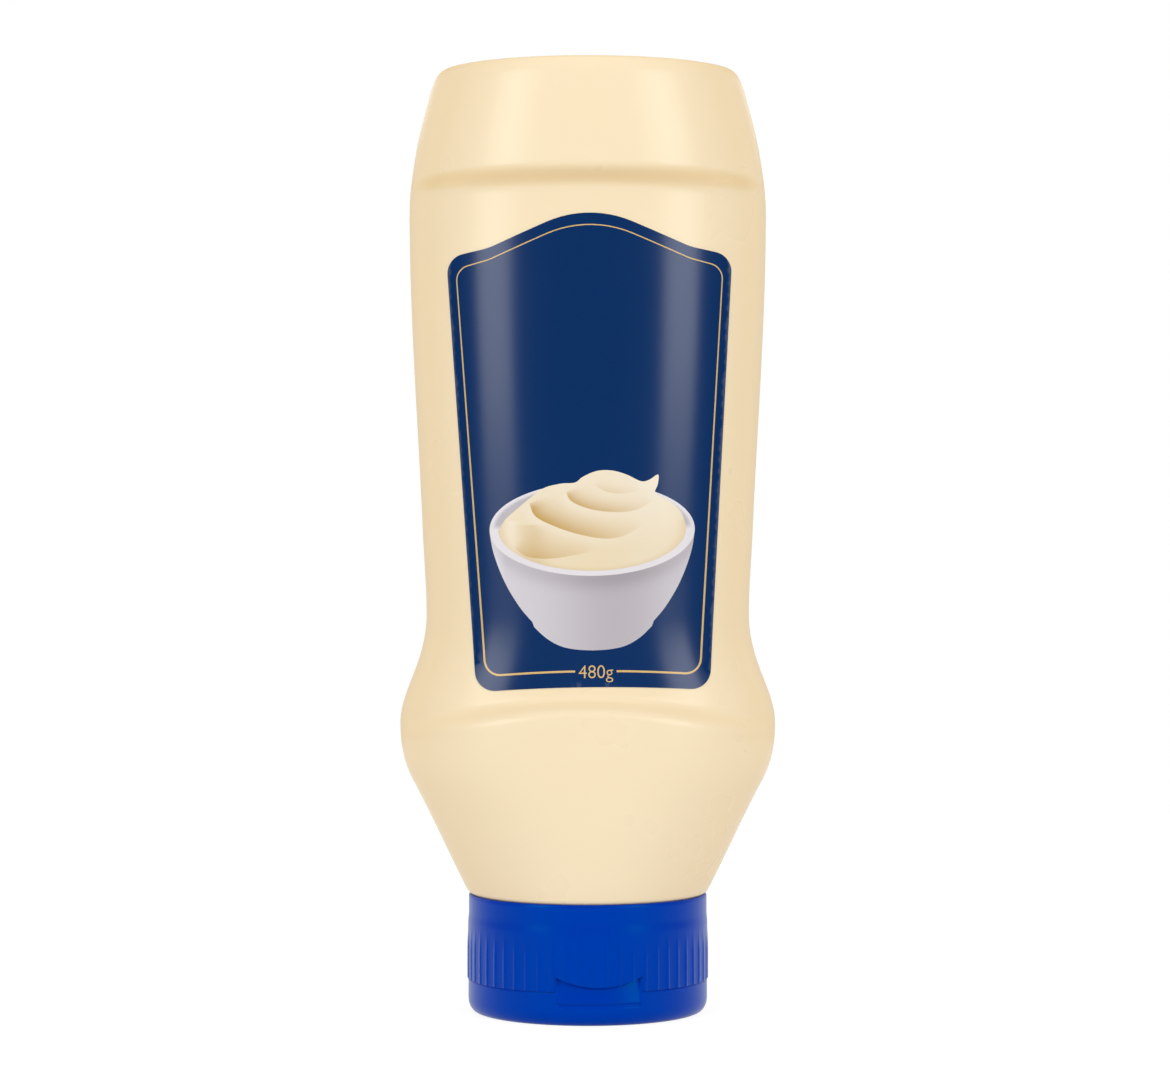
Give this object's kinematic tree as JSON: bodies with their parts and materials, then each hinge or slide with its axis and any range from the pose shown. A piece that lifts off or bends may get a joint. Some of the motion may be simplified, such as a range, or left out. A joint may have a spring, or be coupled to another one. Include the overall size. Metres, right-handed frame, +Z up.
{
  "type": "mayonnaise squeeze bottle",
  "caption": "Squeeze bottle of mayonnaise standing on its wide flip-top cap, with a waisted oval body and arched film labels set in recessed panels.",
  "frame": {"origin": "middle of the lid's flat standing face, on the bottle's upright axis", "axes": "+Z up from the stand to the bottle's dished base, -Y out of the front label, +X to the right as seen facing the front label"},
  "size_m": [0.0824, 0.0616, 0.2057],
  "materials": {
    "cream_plastic": "semi-gloss blow-moulded plastic, cream coloured by its filling",
    "blue_plastic": "semi-gloss moulded plastic, deep blue",
    "label_film": "glossy printed film, navy with a gold border line"
  },
  "bodies": {
    "root": {"bottle": "cream_plastic", "front_label": "label_film", "back_label": "label_film", "cap_body": "blue_plastic", "flip_lid": "blue_plastic", "hinge_strip": "blue_plastic"}
  },
  "joints": []
}
